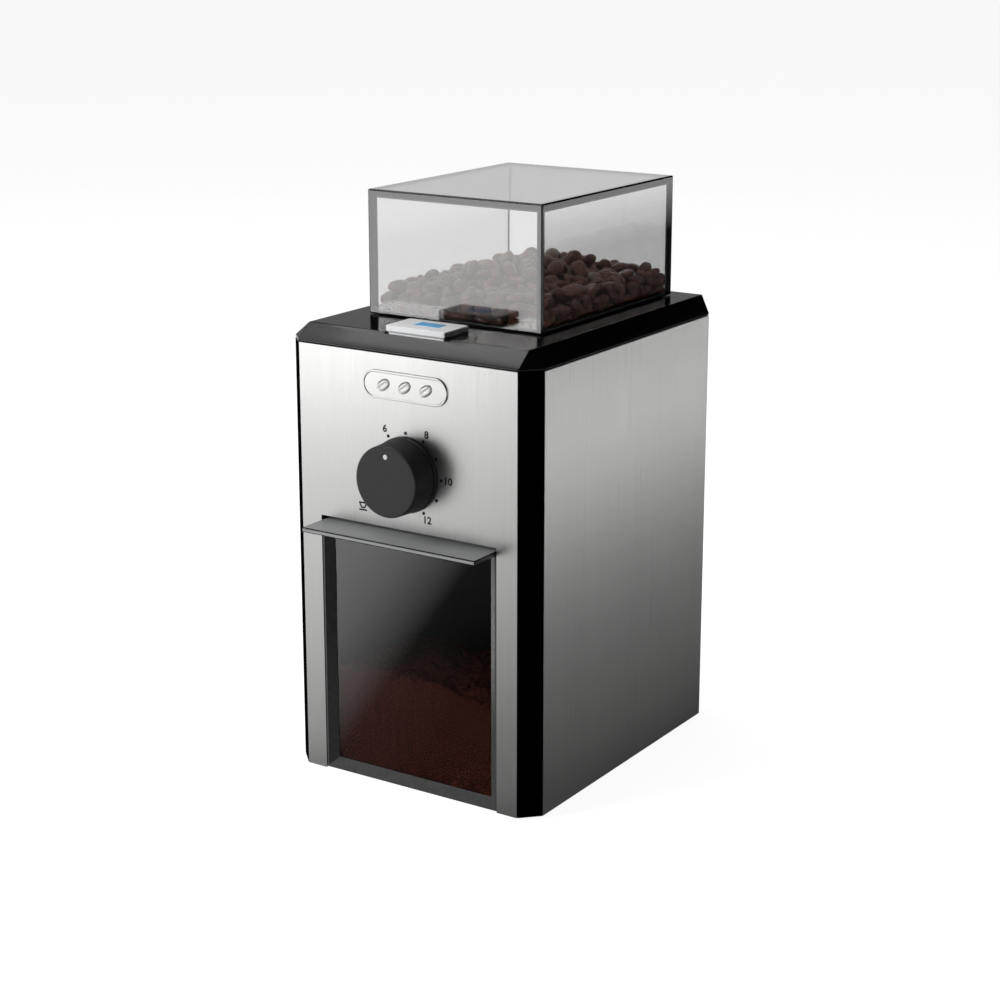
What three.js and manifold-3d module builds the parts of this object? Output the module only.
// Burr coffee grinder, in millimetres, +Z up, front towards -Y.
// The pieces are drawn about the body's middle, with z = 0 at the base plate's underside. The finished
// group is then moved so that its origin is at the bottom centre of the whole outline.
import * as THREE from 'three';
import { mergeVertices } from 'three/addons/utils/BufferGeometryUtils.js';
import { ConvexGeometry } from 'three/addons/geometries/ConvexGeometry.js';
import Module from 'manifold-3d';

const wasm = await Module();
wasm.setup();

// ---- driving dimensions ----
const GAP = 0.3; // air left between neighbouring pieces
const HALF_WIDTH = 65;
const HALF_DEPTH = 80;
const CHAMFER = 8; // the black corner posts, cut at 45 degrees
const WALL = 2.5;
const SHEET = 0.7; // steel panels
const RECESS = 1; // depth of the pockets that hold the panels
const PANEL_TOP = 197.2;
const CAP_RIM = [197.6, 198.4];
const CAP_TOP = 205;
const CAP_INSET = 8; // run of the sloping edge of the cap
const BASE_THICKNESS = 1.6;
const FOOT_HEIGHT = 1.5;
const FOOT_AT = { x: 53, y: 64 };
const SCREW_AT = { x: 56, y: 42 };
const REAR_WINDOW = { x: 52, bottom: 8, top: 190 };
const VENTS = { x: 32, bottom: 110, pitch: 9, height: 3, count: 7 };

const LID = { x: 45.5, front: -43.3, rear: 70.8, top: 261, wall: 3.2 };
const RIM = { x: 42, front: -39.8, rear: 67.3, top: 206.5, wall: 2 }; // bean hopper's standing rim

const OPENING = { x: 46.3, top: 120.3 }; // the mouth of the container bay
const BAY = { rear: -4.5, top: 120.5, wall: 1.8 };
const FRAME = { x: 46, width: 4.5, bottom: 0.6, bead: 0.8 }; // bevelled frame around the container's front
const CONTAINER = { x: 45.3, front: -76.5, rear: -6, bottom: 2, top: 115.9, wall: 2.2 };
const LIP = { x: 45.5, front: -95.2, bottom: 116.2, thickness: 2.2 };
const DROP = { x: 7.5, front: -38, rear: -22 }; // shaft down which the grounds fall

const KNOB = { z: 145.5, r: 15.8, length: 15, shaft: 3 };
const BUTTON = { x: 15.5, front: -72.4, rear: -54, top: 208 };
const DIAL = { y: 13, z: 117.7, r: 17, length: 12, shaft: 3 };
const CAM = { r: 8, rise: 0.38 }; // rise in mm per radian of the dial

const BURR_Y = 13;
const MOTOR_Y = 44;
const BURR_R = 24;
const CHAMBER = { inner: 27.5, outer: 30, bottom: 152, top: 181 };
const GEAR = { module: 1, wheel: 50, pinion: 12, addendum: 0.75, dedendum: 1.1, backlash: 0.2 };
const GLAND = { x: 32, z: 20, rear: 83 };
const MOTOR = { r: 25, bottom: 45, top: 120, wall: 1.5 };

// ---- materials ----
const paint = (color, roughness, metalness, opacity = 1) =>
  new THREE.MeshStandardMaterial({ color, roughness, metalness, opacity, transparent: opacity < 1 });
const STEEL = paint(0xc9c9c7, 0.35, 1);
const BLACK = paint(0x151515, 0.25, 0);
const MATT = paint(0x2b2b2c, 0.6, 0);
const GREY = paint(0x6c6c6c, 0.6, 0);
const CLEAR = paint(0xb9bdbd, 0.05, 0, 0.35);
const RUBBER = paint(0x202020, 0.9, 0);
const WHITE = paint(0xf2f2f2, 0.4, 0);
const SILVER = paint(0xdadada, 0.3, 0.3);
const BLUE = paint(0x1487c8, 0.3, 0);
const NYLON = paint(0xe6e2d4, 0.5, 0);
const BURR_STEEL = paint(0x8d8f92, 0.4, 1);
const COPPER = paint(0xb06a3a, 0.4, 1);
const BOARD = paint(0x2c6b3c, 0.6, 0);

// ---- shape helpers ----
function closed(geometry) {
  const bare = geometry.clone();
  bare.deleteAttribute('normal');
  bare.deleteAttribute('uv');
  const merged = mergeVertices(bare, 1e-4);
  const points = merged.getAttribute('position');
  const corners = [];
  for (let i = 0; i < merged.index.count; i += 3) {
    const [a, b, c] = [0, 1, 2].map((k) => merged.index.getX(i + k));
    if (a !== b && b !== c && c !== a) corners.push([a, b, c]);
  }
  const at = (i) => new THREE.Vector3().fromBufferAttribute(points, i);
  const volume = corners.reduce((sum, [a, b, c]) => sum + at(a).dot(at(b).cross(at(c))), 0);
  const turned = volume < 0 ? corners.map(([a, b, c]) => [a, c, b]) : corners;
  merged.setIndex(turned.flat());
  return merged;
}

function solid(geometry) {
  const skin = closed(geometry);
  const mesh = new wasm.Mesh({
    numProp: 3,
    vertProperties: new Float32Array(skin.getAttribute('position').array),
    triVerts: new Uint32Array(skin.index.array),
  });
  return new wasm.Manifold(mesh);
}

function geometryOf(body) {
  const mesh = body.getMesh();
  const geometry = new THREE.BufferGeometry();
  geometry.setAttribute('position', new THREE.BufferAttribute(new Float32Array(mesh.vertProperties), 3));
  geometry.setIndex(Array.from(mesh.triVerts));
  return geometry;
}

const cut = (geometry, ...tools) =>
  geometryOf(tools.reduce((body, tool) => body.subtract(solid(tool)), solid(geometry)));
const join = (geometry, ...others) =>
  geometryOf(others.reduce((body, other) => body.add(solid(other)), solid(geometry)));

function block(x, y, z) {
  const box = new THREE.BoxGeometry(x[1] - x[0], y[1] - y[0], z[1] - z[0]);
  return box.translate((x[0] + x[1]) / 2, (y[0] + y[1]) / 2, (z[0] + z[1]) / 2);
}

// An outline in X and Y, raised from z[0] to z[1].
function raise(points, z) {
  const shape = new THREE.Shape(points.map(([x, y]) => new THREE.Vector2(x, y)));
  const geometry = new THREE.ExtrudeGeometry(shape, { depth: z[1] - z[0], bevelEnabled: false });
  return geometry.translate(0, 0, z[0]);
}

// An outline in Y and Z, run from x[0] to x[1].
function run(points, x) {
  return raise(points, x).applyMatrix4(new THREE.Matrix4().set(
    0, 0, 1, 0,
    1, 0, 0, 0,
    0, 1, 0, 0,
    0, 0, 0, 1,
  ));
}

// A profile of [radius, height] turned about Z.
function turn(profile, sides = 32) {
  const points = profile.map(([r, z]) => new THREE.Vector2(r, z));
  return new THREE.LatheGeometry(points, sides).rotateX(Math.PI / 2);
}

const rod = (r, z, sides = 24) => turn([[0, z[0]], [r, z[0]], [r, z[1]], [0, z[1]]], sides);
const ring = (inner, outer, z, sides = 32) =>
  turn([[inner, z[0]], [outer, z[0]], [outer, z[1]], [inner, z[1]], [inner, z[0]]], sides);

// Turns a shape made along +Z so that it points out of the front or out of the left side.
const outFront = (geometry) => geometry.rotateX(Math.PI / 2);
const outLeft = (geometry) => geometry.rotateY(-Math.PI / 2);

function octagon(halfX, halfY, corner) {
  const inX = halfX - corner;
  const inY = halfY - corner;
  return [
    [-inX, -halfY], [inX, -halfY], [halfX, -inY], [halfX, inY],
    [inX, halfY], [-inX, halfY], [-halfX, inY], [-halfX, -inY],
  ];
}

function hull(...levels) {
  const points = levels.flatMap(([outline, z]) => outline.map(([x, y]) => new THREE.Vector3(x, y, z)));
  return new ConvexGeometry(points);
}

// Joins rings of equal point count into one closed skin, the last ring back to the first.
function ringSkin(rings) {
  const count = rings[0].length;
  const positions = rings.flat(2);
  const index = [];
  rings.forEach((_, i) => {
    const next = (i + 1) % rings.length;
    for (let j = 0; j < count; j += 1) {
      const k = (j + 1) % count;
      const [a, b, c, d] = [i * count + j, i * count + k, next * count + k, next * count + j];
      index.push(a, b, c, a, c, d);
    }
  });
  const geometry = new THREE.BufferGeometry();
  geometry.setAttribute('position', new THREE.BufferAttribute(new Float32Array(positions), 3));
  geometry.setIndex(index);
  return geometry;
}

function piece(name, geometry, material) {
  const mesh = new THREE.Mesh(closed(geometry), material);
  mesh.name = name;
  return mesh;
}

const SIDES = [['left', -1], ['right', 1]];
const CORNERS = SIDES.flatMap(([side, sx]) => [['front', -1], ['rear', 1]].map(
  ([end, sy]) => [`${end}_${side}`, sx, sy],
));

// ---- housing ----
function bodyShell() {
  const outer = raise(octagon(HALF_WIDTH, HALF_DEPTH, CHAMFER), [0, PANEL_TOP]);
  const inset = RECESS + WALL;
  const inner = raise(octagon(HALF_WIDTH - inset, HALF_DEPTH - inset, CHAMFER - 1), [-1, PANEL_TOP + 1]);
  const postX = HALF_WIDTH - CHAMFER;
  const postY = HALF_DEPTH - CHAMFER;
  const above = [-1, PANEL_TOP + 1];
  const frontPocket = block([-postX, postX], [-HALF_DEPTH - 1, -HALF_DEPTH + RECESS], above);
  const sidePockets = SIDES.map(([, s]) => {
    const x = [s * (HALF_WIDTH - RECESS), s * (HALF_WIDTH + 1)].sort((a, b) => a - b);
    return block(x, [-postY, postY], above);
  });
  const mouth = block([-OPENING.x, OPENING.x], [-HALF_DEPTH - 1, -70], [-1, OPENING.top]);
  const window = REAR_WINDOW;
  const rearWindow = block([-window.x, window.x], [70, HALF_DEPTH + 1], [window.bottom, window.top]);
  const knobHole = outFront(rod(KNOB.shaft + 1, [70, 90])).translate(0, 0, KNOB.z);
  const dialHole = outLeft(rod(DIAL.shaft + 1, [55, 70])).translate(0, DIAL.y, DIAL.z);
  const body = cut(outer, inner, frontPocket, ...sidePockets, mouth, rearWindow, knobHole, dialHole);
  return piece('body_shell', body, BLACK);
}

function frontPanel() {
  const half = HALF_WIDTH - CHAMFER - GAP;
  const face = -HALF_DEPTH;
  const sheet = block([-half, half], [face, face + SHEET], [0, PANEL_TOP]);
  const mouth = block([-OPENING.x, OPENING.x], [face - 1, face + 2], [-1, OPENING.top]);
  const hole = outFront(rod(KNOB.shaft + 1, [70, 90])).translate(0, 0, KNOB.z);
  return piece('front_panel', cut(sheet, mouth, hole), STEEL);
}

function sidePanels() {
  const half = HALF_DEPTH - CHAMFER - GAP;
  return SIDES.map(([side, s]) => {
    const x = [s * (HALF_WIDTH - SHEET), s * HALF_WIDTH].sort((a, b) => a - b);
    const sheet = block(x, [-half, half], [0, PANEL_TOP]);
    const hole = outLeft(rod(DIAL.shaft + 1, [60, 70])).translate(0, DIAL.y, DIAL.z);
    return piece(`${side}_panel`, s < 0 ? cut(sheet, hole) : sheet, STEEL);
  });
}

function rearCover() {
  const { x, bottom, top } = REAR_WINDOW;
  const plate = block([-x + GAP, x - GAP], [HALF_DEPTH - 3, HALF_DEPTH], [bottom + GAP, top - GAP]);
  const slots = Array.from({ length: VENTS.count }, (_, i) => {
    const z = VENTS.bottom + VENTS.pitch * i;
    return block([-VENTS.x, VENTS.x], [70, 90], [z, z + VENTS.height]);
  });
  const cordHole = outFront(rod(5.3, [-90, -70])).translate(GLAND.x, 0, GLAND.z);
  return piece('rear_cover', cut(plate, ...slots, cordHole), BLACK);
}

function topCover() {
  const rim = octagon(HALF_WIDTH, HALF_DEPTH, CHAMFER);
  const flatX = HALF_WIDTH - CAP_INSET;
  const flat = [
    [-flatX, CAP_INSET - HALF_DEPTH], [flatX, CAP_INSET - HALF_DEPTH],
    [flatX, HALF_DEPTH], [-flatX, HALF_DEPTH],
  ];
  const outer = hull([rim, CAP_RIM[0]], [rim, CAP_RIM[1]], [flat, CAP_TOP]);
  const underX = flatX - 2;
  const under = [
    [-underX, CAP_INSET - HALF_DEPTH + 2], [underX, CAP_INSET - HALF_DEPTH + 2],
    [underX, HALF_DEPTH - WALL], [-underX, HALF_DEPTH - WALL],
  ];
  const innerRim = octagon(HALF_WIDTH - WALL, HALF_DEPTH - WALL, CHAMFER - 1);
  const inner = hull([innerRim, CAP_RIM[0] - 1], [innerRim, CAP_RIM[0]], [under, CAP_TOP - WALL]);
  const well = block(
    [-RIM.x - GAP, RIM.x + GAP], [RIM.front - GAP, RIM.rear + GAP], [CAP_RIM[0], CAP_TOP + 1]);
  const buttonHole = block(
    [-BUTTON.x - GAP, BUTTON.x + GAP], [BUTTON.front - GAP, BUTTON.rear + GAP], [CAP_RIM[0], CAP_TOP + 1]);
  return piece('top_cover', cut(outer, inner, well, buttonHole), BLACK);
}

function basePlate() {
  const inset = RECESS + WALL + GAP;
  const outline = octagon(HALF_WIDTH - inset, HALF_DEPTH - inset, CHAMFER - 1);
  const slots = Array.from({ length: 5 }, (_, i) => block([-18, 18], [22 + 8 * i, 25 + 8 * i], [-1, 3]));
  const stemHoles = CORNERS.map(([, sx, sy]) => rod(3.3, [-1, 3]).translate(sx * FOOT_AT.x, sy * FOOT_AT.y, 0));
  const screwHoles = CORNERS.map(
    ([, sx, sy]) => rod(1.9, [-1, 3], 12).translate(sx * SCREW_AT.x, sy * SCREW_AT.y, 0));
  const plate = raise(outline, [0, BASE_THICKNESS]);
  return piece('base_plate', cut(plate, ...slots, ...stemHoles, ...screwHoles), MATT);
}

function feet() {
  const profile = [
    [0, -FOOT_HEIGHT], [7, -FOOT_HEIGHT], [7.5, -1], [7.5, -GAP], [3, -GAP], [3, 2.6], [0, 2.6],
  ];
  return CORNERS.map(([corner, sx, sy]) => {
    const foot = turn(profile, 16).translate(sx * FOOT_AT.x, sy * FOOT_AT.y, 0);
    return piece(`foot_${corner}`, foot, RUBBER);
  });
}

function baseScrews() {
  const profile = [[0, -1.1], [2.4, -1.1], [3.2, -0.6], [3.2, -GAP], [1.6, -GAP], [1.6, 8], [0, 8]];
  return CORNERS.map(([corner, sx, sy]) => {
    const screw = turn(profile, 12).translate(sx * SCREW_AT.x, sy * SCREW_AT.y, 0);
    return piece(`base_screw_${corner}`, screw, STEEL);
  });
}

function nameBadge() {
  const [halfX, halfZ, corner] = [22, 6.2, 3];
  const outline = octagon(halfX, halfZ, corner);
  const plate = outFront(raise(outline, [HALF_DEPTH + GAP, HALF_DEPTH + 1.3])).translate(0, 0, 183.7);
  return piece('name_badge', plate, SILVER);
}

function containerBay() {
  const outer = block(
    [-OPENING.x - BAY.wall, OPENING.x + BAY.wall],
    [-HALF_DEPTH + RECESS + WALL + GAP, BAY.rear + BAY.wall],
    [BASE_THICKNESS + GAP, BAY.top + BAY.wall]);
  const inner = block([-OPENING.x, OPENING.x], [-HALF_DEPTH, BAY.rear], [0, BAY.top]);
  const hole = block([-DROP.x, DROP.x], [DROP.front, DROP.rear], [100, 130]);
  return piece('container_bay', cut(outer, inner, hole), MATT);
}

function cordGland() {
  const seat = HALF_DEPTH + 0.5;
  const bush = turn([
    [3.4, 74], [5, 74], [5, seat], [7, seat], [6, GLAND.rear], [3.4, GLAND.rear], [3.4, 74],
  ], 20);
  return piece('cord_gland', outFront(bush).rotateZ(Math.PI).translate(GLAND.x, 0, GLAND.z), RUBBER);
}

// ---- bean hopper and burrs ----
function rectangleRing(x, front, rear, z) {
  const corners = [[x, rear], [-x, rear], [-x, front], [x, front]];
  const steps = 8;
  return corners.flatMap(([ax, ay], i) => {
    const [bx, by] = corners[(i + 1) % 4];
    return Array.from({ length: steps }, (_, j) => [
      ax + ((bx - ax) * j) / steps, ay + ((by - ay) * j) / steps, z,
    ]);
  });
}

function circleRing(r, z) {
  return Array.from({ length: 32 }, (_, i) => {
    const angle = Math.PI / 4 + (i * Math.PI) / 16;
    return [r * Math.cos(angle), BURR_Y + r * Math.sin(angle), z];
  });
}

function beanHopper() {
  const shoulder = 199;
  const throat = CHAMBER.top + GAP;
  const [front, rear, wall] = [RIM.front, RIM.rear, RIM.wall];
  return piece('bean_hopper', ringSkin([
    rectangleRing(RIM.x, front, rear, RIM.top),
    rectangleRing(RIM.x, front, rear, shoulder - wall),
    circleRing(CHAMBER.outer - GAP, throat),
    circleRing(CHAMBER.inner, throat),
    rectangleRing(RIM.x - wall, front + wall, rear - wall, shoulder),
    rectangleRing(RIM.x - wall, front + wall, rear - wall, RIM.top),
  ]), MATT);
}

function grindingChamber() {
  const { inner, outer, bottom, top } = CHAMBER;
  const floor = bottom + WALL;
  const cup = turn([
    [7.3, bottom], [outer, bottom], [outer, top], [inner, top], [inner, 179.8], [29, 179.8],
    [29, 176.2], [inner, 176.2], [inner, floor], [7.3, floor], [7.3, bottom],
  ], 28);
  const notches = [0, 1, 2].map((i) => block([-6, 6], [0, 29], [176.2, 190]).rotateZ((i * 2 * Math.PI) / 3));
  const outlet = block([-DROP.x, DROP.x], [-40, -20], [floor, 165]);
  const shelf = cut(block([-37, 37], [-22, 24], [bottom, floor]), rod(7.3, [bottom - 1, floor + 1]));
  const pillars = [[-31, -17], [31, -17], [-31, 21], [31, 21]].map(
    ([x, y]) => rod(3, [124.3, floor], 12).translate(x, y, 0));
  const chamber = join(cut(cup, ...notches, outlet), shelf, ...pillars).translate(0, BURR_Y, 0);
  return piece('grinding_chamber', chamber, GREY);
}

function shaftBush() {
  return piece('shaft_bush', ring(4.3, 7, [150, 155.5], 24).translate(0, BURR_Y, 0), COPPER);
}

function groundsChute() {
  const start = BURR_Y - CHAMBER.outer - GAP;
  const foot = BAY.top + BAY.wall + GAP;
  const outer = run([
    [start, 167], [-30, 167], [DROP.front - 2, 155], [DROP.front - 2, foot],
    [DROP.rear + 2, foot], [DROP.rear + 2, 149], [start, 151.5],
  ], [-DROP.x - 2, DROP.x + 2]);
  const inner = run([
    [start + 1, 165], [-29, 165], [DROP.front, 154], [DROP.front, foot - 1],
    [DROP.rear, foot - 1], [DROP.rear, 151], [start + 1, 154.5],
  ], [-DROP.x, DROP.x]);
  return piece('grounds_chute', cut(outer, inner), GREY);
}

function burrTeeth(count, z) {
  const [near, far] = [9.5, BURR_R - 0.6];
  return Array.from({ length: count }, (_, i) =>
    block([near, far], [-0.6, 0.6], z).translate(0, 2, 0).rotateZ((i * 2 * Math.PI) / count));
}

function upperBurrSet() {
  const web = turn([
    [8, 172.3], [25.5, 172.3], [26.9, 173.7], [26.9, 180.5], [24.5, 180.5], [24.5, 175], [8, 175], [8, 172.3],
  ], 28);
  const lugs = [0, 1, 2].map((i) =>
    block([-4.5, 4.5], [25.5, 28.4], [176.8, 179.2]).rotateZ(((i + 0.5) * 2 * Math.PI) / 3));
  const grips = SIDES.map(([, s]) => block([-1.5, 1.5], [-6, 6], [174, 184]).translate(s * 19, 0, 0));
  const carrier = join(web, ...lugs, ...grips).translate(0, BURR_Y, 0);
  const plate = ring(9, BURR_R, [167.8, 172], 28);
  const burr = join(plate, ...burrTeeth(16, [166.5, 168])).translate(0, BURR_Y, 0);
  return [piece('upper_burr_carrier', carrier, MATT), piece('upper_burr', burr, BURR_STEEL)];
}

// ---- drive ----
function gearOutline(teeth, phase) {
  const { module, addendum, dedendum, backlash } = GEAR;
  const pressure = Math.PI / 9;
  const pitch = (module * teeth) / 2;
  const base = pitch * Math.cos(pressure);
  const involute = (angle) => Math.tan(angle) - angle;
  const halfAt = (r) => {
    const angle = Math.acos(Math.min(1, base / r));
    return Math.PI / (2 * teeth) - backlash / 2 / pitch + involute(pressure) - involute(angle);
  };
  const root = pitch - module * dedendum;
  const tip = pitch + module * addendum;
  const flank = [root, pitch, tip].map((r) => [r, halfAt(r)]);
  return Array.from({ length: teeth }, (_, i) => {
    const middle = phase + (i * 2 * Math.PI) / teeth;
    const rising = flank.map(([r, half]) => [r, middle - half]);
    const falling = flank.toReversed().map(([r, half]) => [r, middle + half]);
    return [...rising, ...falling].map(([r, a]) => [r * Math.cos(a), r * Math.sin(a)]);
  }).flat();
}

function burrDrive() {
  const shaft = rod(4, [129.3, 158.9]).translate(0, BURR_Y, 0);
  const wheel = cut(raise(gearOutline(GEAR.wheel, Math.PI / 2), [139, 147]), rod(4.3, [130, 150]));
  const disc = join(
    rod(25, [159.2, 161.2]),
    rod(8.4, [160, 164]),
    ...[0, 1, 2, 3].map((i) => block([23, 26.6], [-1, 1], [156.5, 161.2]).rotateZ((i * Math.PI) / 2)));
  const plate = ring(9, BURR_R, [161.5, 163.8], 28);
  const burr = join(plate, ...burrTeeth(16, [163, 165]));
  return [
    piece('burr_shaft', shaft, STEEL),
    piece('output_gear', wheel.translate(0, BURR_Y, 0), NYLON),
    piece('sweeper_disc', disc.translate(0, BURR_Y, 0), MATT),
    piece('lower_burr', burr.translate(0, BURR_Y, 0), BURR_STEEL),
  ];
}

function motorRotor() {
  const phase = (3 * Math.PI) / 2 + Math.PI / GEAR.pinion;
  const pinion = cut(raise(gearOutline(GEAR.pinion, phase), [137.5, 150]), rod(2.8, [130, 152]));
  const blades = Array.from({ length: 8 }, (_, i) =>
    block([6, 20], [-0.8, 0.8], [30.5, 36]).rotateZ((i * Math.PI) / 4));
  const fan = join(ring(2.8, 20, [35, 36.5]), ...blades);
  return [
    piece('motor_shaft', rod(2.5, [30, 150]).translate(0, MOTOR_Y, 0), STEEL),
    piece('motor_pinion', pinion.translate(0, MOTOR_Y, 0), BURR_STEEL),
    piece('motor_armature', ring(2.8, 17, [62, 106]).translate(0, MOTOR_Y, 0), BURR_STEEL),
    piece('motor_commutator', ring(2.8, 7, [48, 58], 20).translate(0, MOTOR_Y, 0), COPPER),
    piece('motor_fan', fan.translate(0, MOTOR_Y, 0), NYLON),
  ];
}

function motorFrame() {
  const { r, bottom, top, wall } = MOTOR;
  const can = turn([
    [3.5, top - wall], [r - wall, top - wall], [r - wall, bottom], [r, bottom], [r, top], [3.5, top],
    [3.5, top - wall],
  ], 28);
  const endCap = ring(3.5, r, [bottom - 4, bottom - GAP], 28);
  const magnets = SIDES.map(([side, s]) => {
    const arc = new THREE.Shape();
    arc.absarc(0, 0, r - wall - GAP, -1, 1, false);
    arc.absarc(0, 0, 18.5, 1, -1, true);
    const slab = new THREE.ExtrudeGeometry(arc, { depth: 44, bevelEnabled: false, curveSegments: 10 });
    const placed = slab.translate(0, 0, 62).rotateZ(s < 0 ? Math.PI : 0).translate(0, MOTOR_Y, 0);
    return piece(`field_magnet_${side}`, placed, MATT);
  });
  const plate = block([-38, 38], [-2, 76], [121.5, 124]);
  const leg = [BASE_THICKNESS + GAP, 122];
  const legs = SIDES.map(([, s]) => block([-2, 2], [30, 58], leg).translate(s * 34, 0, 0));
  const holes = [rod(4.5, [120, 126]).translate(0, MOTOR_Y, 0), rod(6, [120, 126]).translate(0, BURR_Y, 0)];
  return [
    piece('motor_can', can.translate(0, MOTOR_Y, 0), STEEL),
    piece('motor_end_cap', endCap.translate(0, MOTOR_Y, 0), MATT),
    ...magnets,
    piece('motor_bracket', cut(join(plate, ...legs), ...holes), STEEL),
  ];
}

// ---- grind setting ----
function camOutline() {
  const steps = 40;
  return Array.from({ length: steps }, (_, i) => {
    const back = (i * 2 * Math.PI) / steps; // angle back from the top, against the dial's turn
    const climb = back <= Math.PI ? back : 2 * Math.PI - back;
    const r = CAM.r - GAP + CAM.rise * climb;
    const angle = Math.PI / 2 - back;
    return [r * Math.cos(angle), r * Math.sin(angle)];
  }).toReversed();
}

// Made with the outward end along +Z: X becomes up and Y stays when it is turned out to the left.
function grindDial() {
  const { r, length, shaft } = DIAL;
  const knob = turn([
    [0, 65.4], [r, 65.4], [r, 63.6 + length], [r - 1.2, 65 + length], [0, 65 + length],
  ], 32);
  const ribs = Array.from({ length: 16 }, (_, i) =>
    block([r - 1, r + 0.6], [-0.7, 0.7], [67.5, 62.5 + length]).rotateZ((i * Math.PI) / 8));
  const pocket = rod(1.4, [64 + length, 66 + length], 16).translate(12.5, 0, 0);
  const body = join(knob, ...ribs);
  const place = (geometry) => outLeft(geometry).translate(0, DIAL.y, DIAL.z);
  const cam = run(camOutline().map(([a, b]) => [-a, b]), [-50, -44]).translate(0, DIAL.y, DIAL.z);
  const bore = outLeft(rod(shaft + GAP, [40, 60])).translate(0, DIAL.y, DIAL.z);
  return [
    piece('grind_dial', place(cut(body, pocket, rod(shaft + GAP, [60, 72]))), MATT),
    piece('grind_dial_mark', place(rod(1.1, [64.4 + length, 65 + length], 16).translate(12.5, 0, 0)), WHITE),
    piece('grind_dial_shaft', place(rod(shaft, [42, 71.5])), STEEL),
    piece('adjusting_cam', cut(cam, bore), NYLON),
  ];
}

function liftBar() {
  const bottom = DIAL.z + CAM.r;
  const bar = block([-52, 8], [8, 18], [bottom + GAP, 129]);
  return piece('burr_lift_bar', bar, STEEL);
}

// ---- controls ----
function quantityKnob() {
  const { r, length, shaft } = KNOB;
  const base = HALF_DEPTH + 0.4;
  const face = HALF_DEPTH + length;
  const profile = [
    [0, base], [r + 0.9, base], [r + 0.9, base + 1.6], [r + 0.3, base + 1.9], [r + 0.5, base + 2.2],
    [r, face - 0.6], [r - 0.6, face], [0, face],
  ];
  const pocket = rod(1.3, [face - 0.8, face + 1], 16).translate(0, 11, 0);
  const body = cut(turn(profile, 40), pocket, rod(shaft + GAP, [base - 1, base + 8]));
  const place = (geometry) => geometry.applyMatrix4(new THREE.Matrix4().set(
    1, 0, 0, 0,
    0, 0, -1, 0,
    0, 1, 0, KNOB.z,
    0, 0, 0, 1,
  ));
  return [
    piece('quantity_knob', place(body), MATT),
    piece('quantity_knob_mark', place(rod(1, [face - 0.5, face], 16).translate(0, 11, 0)), WHITE),
    piece('quantity_shaft', place(rod(shaft, [66, base + 7.6])), STEEL),
  ];
}

function controlBoard() {
  const potDisc = outFront(ring(KNOB.shaft + GAP, 12, [64, 76.2], 28)).translate(0, 0, KNOB.z);
  const board = join(
    block([-38, 38], [-63.6, -62], [126, 172]),
    block([16, 34], [-62.5, -50], [130, 145]),
    outFront(rod(6, [44, 62.5], 16)).translate(-26, 0, 150));
  return [
    piece('quantity_potentiometer', potDisc, MATT),
    piece('control_board', cut(board, outFront(rod(5, [61, 65])).translate(0, 0, KNOB.z)), BOARD),
  ];
}

function startButton() {
  const { x, front, rear, top } = BUTTON;
  const middle = (front + rear) / 2;
  const lensPocket = block([-5.5, 7.5], [-65.5, -59.1], [top - 0.8, top + 1]);
  const flange = block([-x - 2, x + 2], [front + 3, rear], [199.6, CAP_TOP - WALL - GAP]);
  const stem = rod(3, [190.4, 200]).translate(0, middle, 0);
  const cap = cut(join(block([-x, x], [front, rear], [201, top]), flange, stem), lensPocket);
  const lens = block([-5.5 + GAP, 7.5 - GAP], [-65.5 + GAP, -59.1 - GAP], [top - 0.5, top]);
  return [piece('start_button', cap, SILVER), piece('button_lens', lens, BLUE)];
}

class Helix extends THREE.Curve {
  constructor(radius, turns, z) {
    super();
    Object.assign(this, { radius, turns, z });
  }

  getPoint(t) {
    const angle = t * this.turns * 2 * Math.PI;
    const height = this.z[0] + t * (this.z[1] - this.z[0]);
    return new THREE.Vector3(this.radius * Math.cos(angle), this.radius * Math.sin(angle), height);
  }
}

function buttonSpring() {
  const wire = new THREE.Shape();
  wire.absarc(0, 0, 0.4, 0, 2 * Math.PI, false);
  const path = new Helix(4.4, 4, [188.6, 198.8]);
  const coil = new THREE.ExtrudeGeometry(wire, { steps: 40, curveSegments: 3, extrudePath: path });
  const middle = (BUTTON.front + BUTTON.rear) / 2;
  return piece('button_spring', coil.translate(0, middle, 0), STEEL);
}

function switches() {
  const middle = (BUTTON.front + BUTTON.rear) / 2;
  const start = block([-9, 9], [middle - 6, middle + 6], [176, 187.8]);
  const interlock = block([49, 56], [-20, -8], [100, 112]);
  return [piece('start_switch', start, MATT), piece('container_interlock', interlock, MATT)];
}

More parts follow.
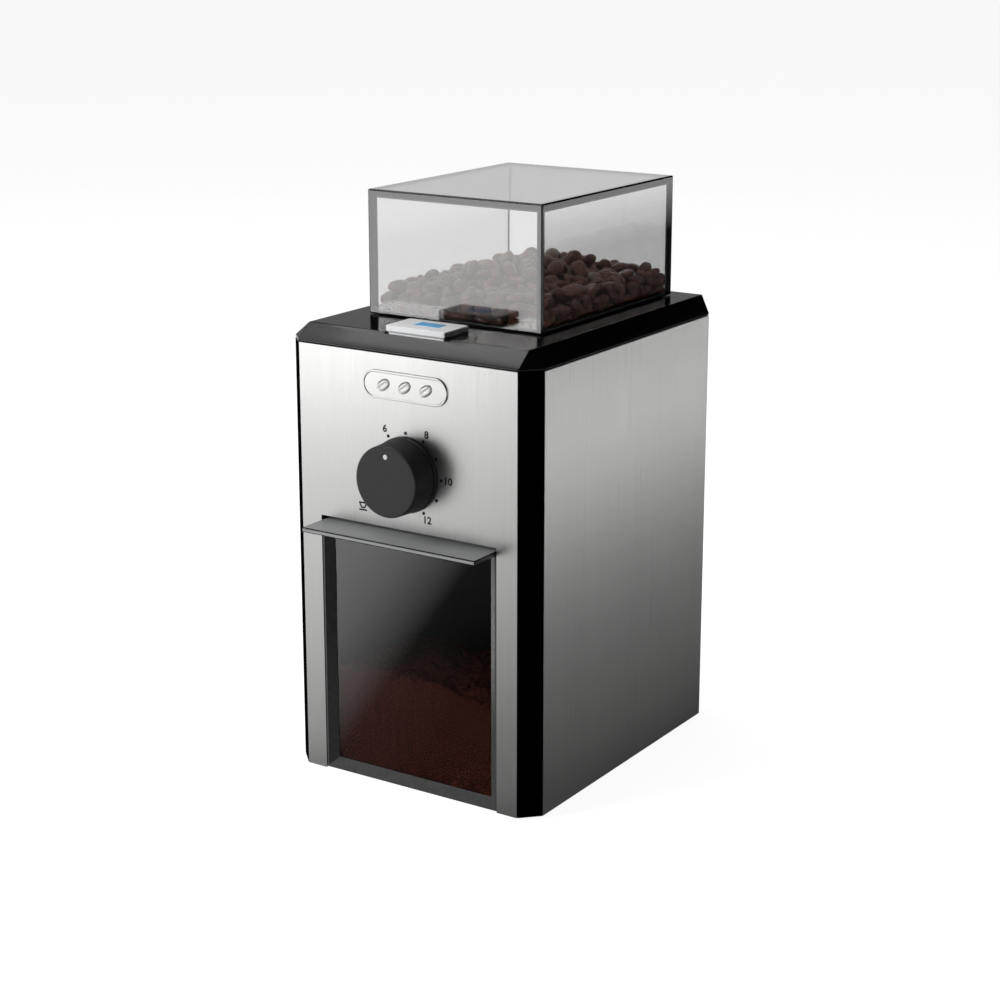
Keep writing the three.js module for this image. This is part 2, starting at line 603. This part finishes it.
// ---- pieces that lift or slide off ----
function hopperLid() {
  const { x, front, rear, top, wall } = LID;
  const bottom = CAP_TOP + GAP;
  const outer = block([-x, x], [front, rear], [bottom, top]);
  const inner = block([-x + wall, x - wall], [front + wall, rear - wall], [bottom - 1, top - wall]);
  return piece('hopper_lid', cut(outer, inner), CLEAR);
}

// The frame slopes from its outer front edge back to the pane, and its corners meet in mitres.
function containerFrame() {
  const { x, width, bottom, bead } = FRAME;
  const face = -HALF_DEPTH + GAP;
  const pane = CONTAINER.front;
  const back = pane + 0.2;
  const post = [[x, back], [x, face], [x - bead, face], [x - width, pane - 0.1], [x - width, back]];
  const mirrored = post.map(([px, py]) => [-px, py]).toReversed();
  const sill = [
    [back, bottom], [face, bottom], [face, bottom + bead], [pane - 0.1, bottom + width], [back, bottom + width],
  ];
  const height = [bottom, CONTAINER.top];
  return [raise(post, height), raise(mirrored, height), run(sill, [-x, x])];
}

function groundsContainer() {
  const { x, front, rear, bottom, top, wall } = CONTAINER;
  const outer = block([-x, x], [front, rear], [bottom, top]);
  const inner = block([-x + wall, x - wall], [front + wall, rear - wall], [bottom + wall, top + 1]);
  return piece('grounds_container', join(cut(outer, inner), ...containerFrame()), CLEAR);
}

function containerLid() {
  const top = LIP.bottom + LIP.thickness;
  const plate = block([-LIP.x, LIP.x], [LIP.front, CONTAINER.rear], [LIP.bottom, top]);
  const hole = block([-DROP.x - 1, DROP.x + 1], [DROP.front - 1, DROP.rear + 1], [110, 125]);
  return piece('container_lid', cut(plate, hole), CLEAR);
}

function assembly(...pieces) {
  const group = new THREE.Group();
  group.add(...pieces.flat());
  return group;
}

const housing = assembly(
  bodyShell(), frontPanel(), sidePanels(), rearCover(), topCover(), basePlate(), feet(), baseScrews(),
  nameBadge(), containerBay(), cordGland(), beanHopper(), grindingChamber(), shaftBush(), groundsChute(),
  motorFrame(), controlBoard(), switches(), buttonSpring());
const movers = assembly(
  hopperLid(), groundsContainer(), containerLid(), quantityKnob(), startButton(), grindDial(), liftBar(),
  burrDrive(), motorRotor(), upperBurrSet());

// The dial reaches past the body on the left, the lip at the front and the gland at the rear.
const grinder = assembly(housing, movers);
grinder.position.set(DIAL.length / 2, -(LIP.front + GLAND.rear) / 2, FOOT_HEIGHT);

export default grinder;
